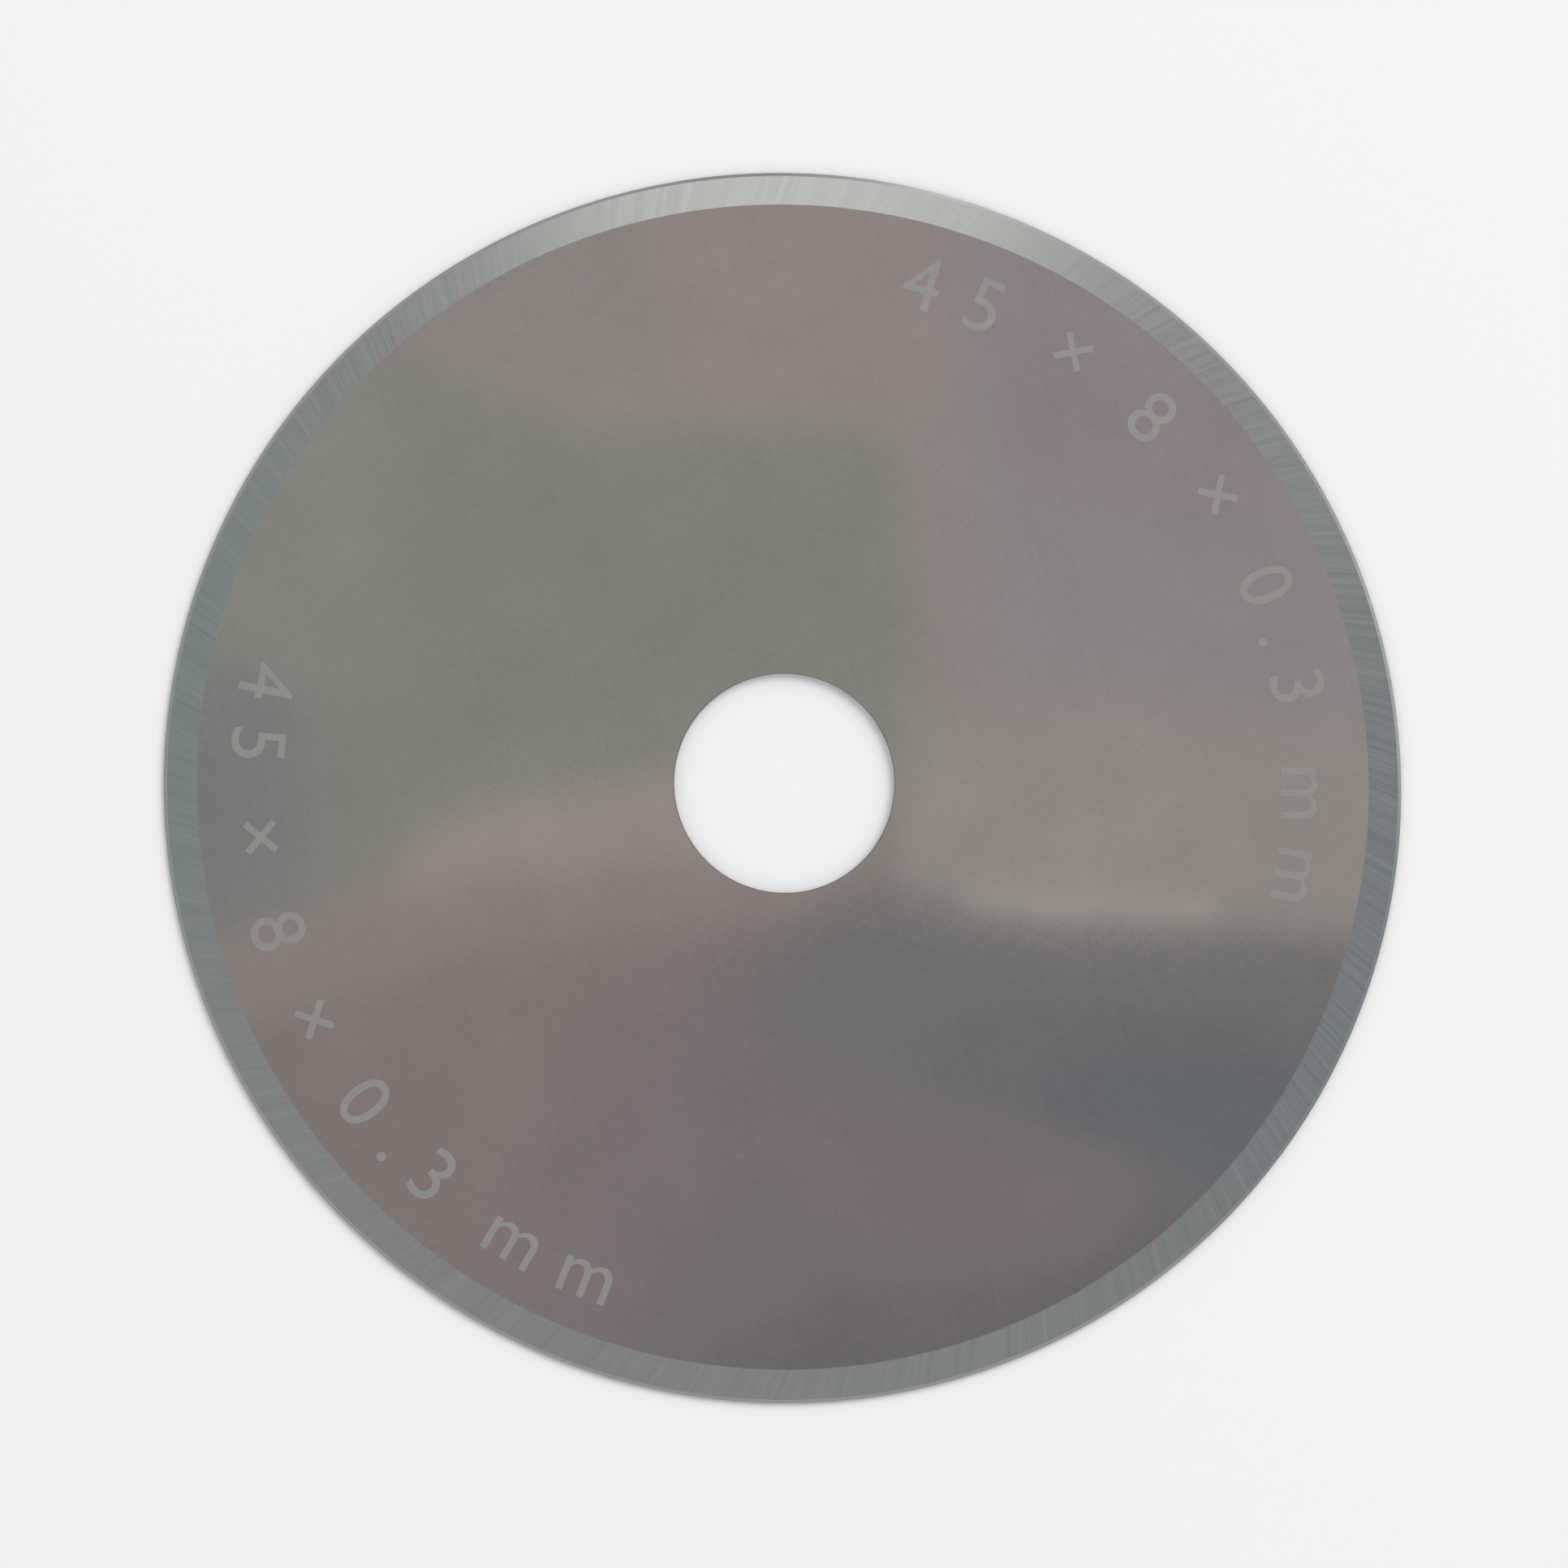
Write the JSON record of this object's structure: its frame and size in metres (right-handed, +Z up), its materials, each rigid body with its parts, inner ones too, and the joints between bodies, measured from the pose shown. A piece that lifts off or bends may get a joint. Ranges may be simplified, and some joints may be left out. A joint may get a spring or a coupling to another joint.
{
  "type": "rotary cutter blade",
  "caption": "Thin round cutting disc with a plain central bore and a rim ground from both sides to a sharp edge, for a hand-held fabric and paper cutter.",
  "frame": {"origin": "centre of the bore on the lower flat face, which the blade lies on", "axes": "+Z up along the bore's axis, out of the upper face; +Y points to the top of the picture when seen from above"},
  "size_m": [0.045, 0.045, 0.0003],
  "materials": {
    "ground_carbide": "lapped and polished tungsten carbide, a dark warm grey with soft reflections, and a finely ground bevel round the rim"
  },
  "bodies": {
    "root": {"blade": "ground_carbide"}
  },
  "joints": []
}
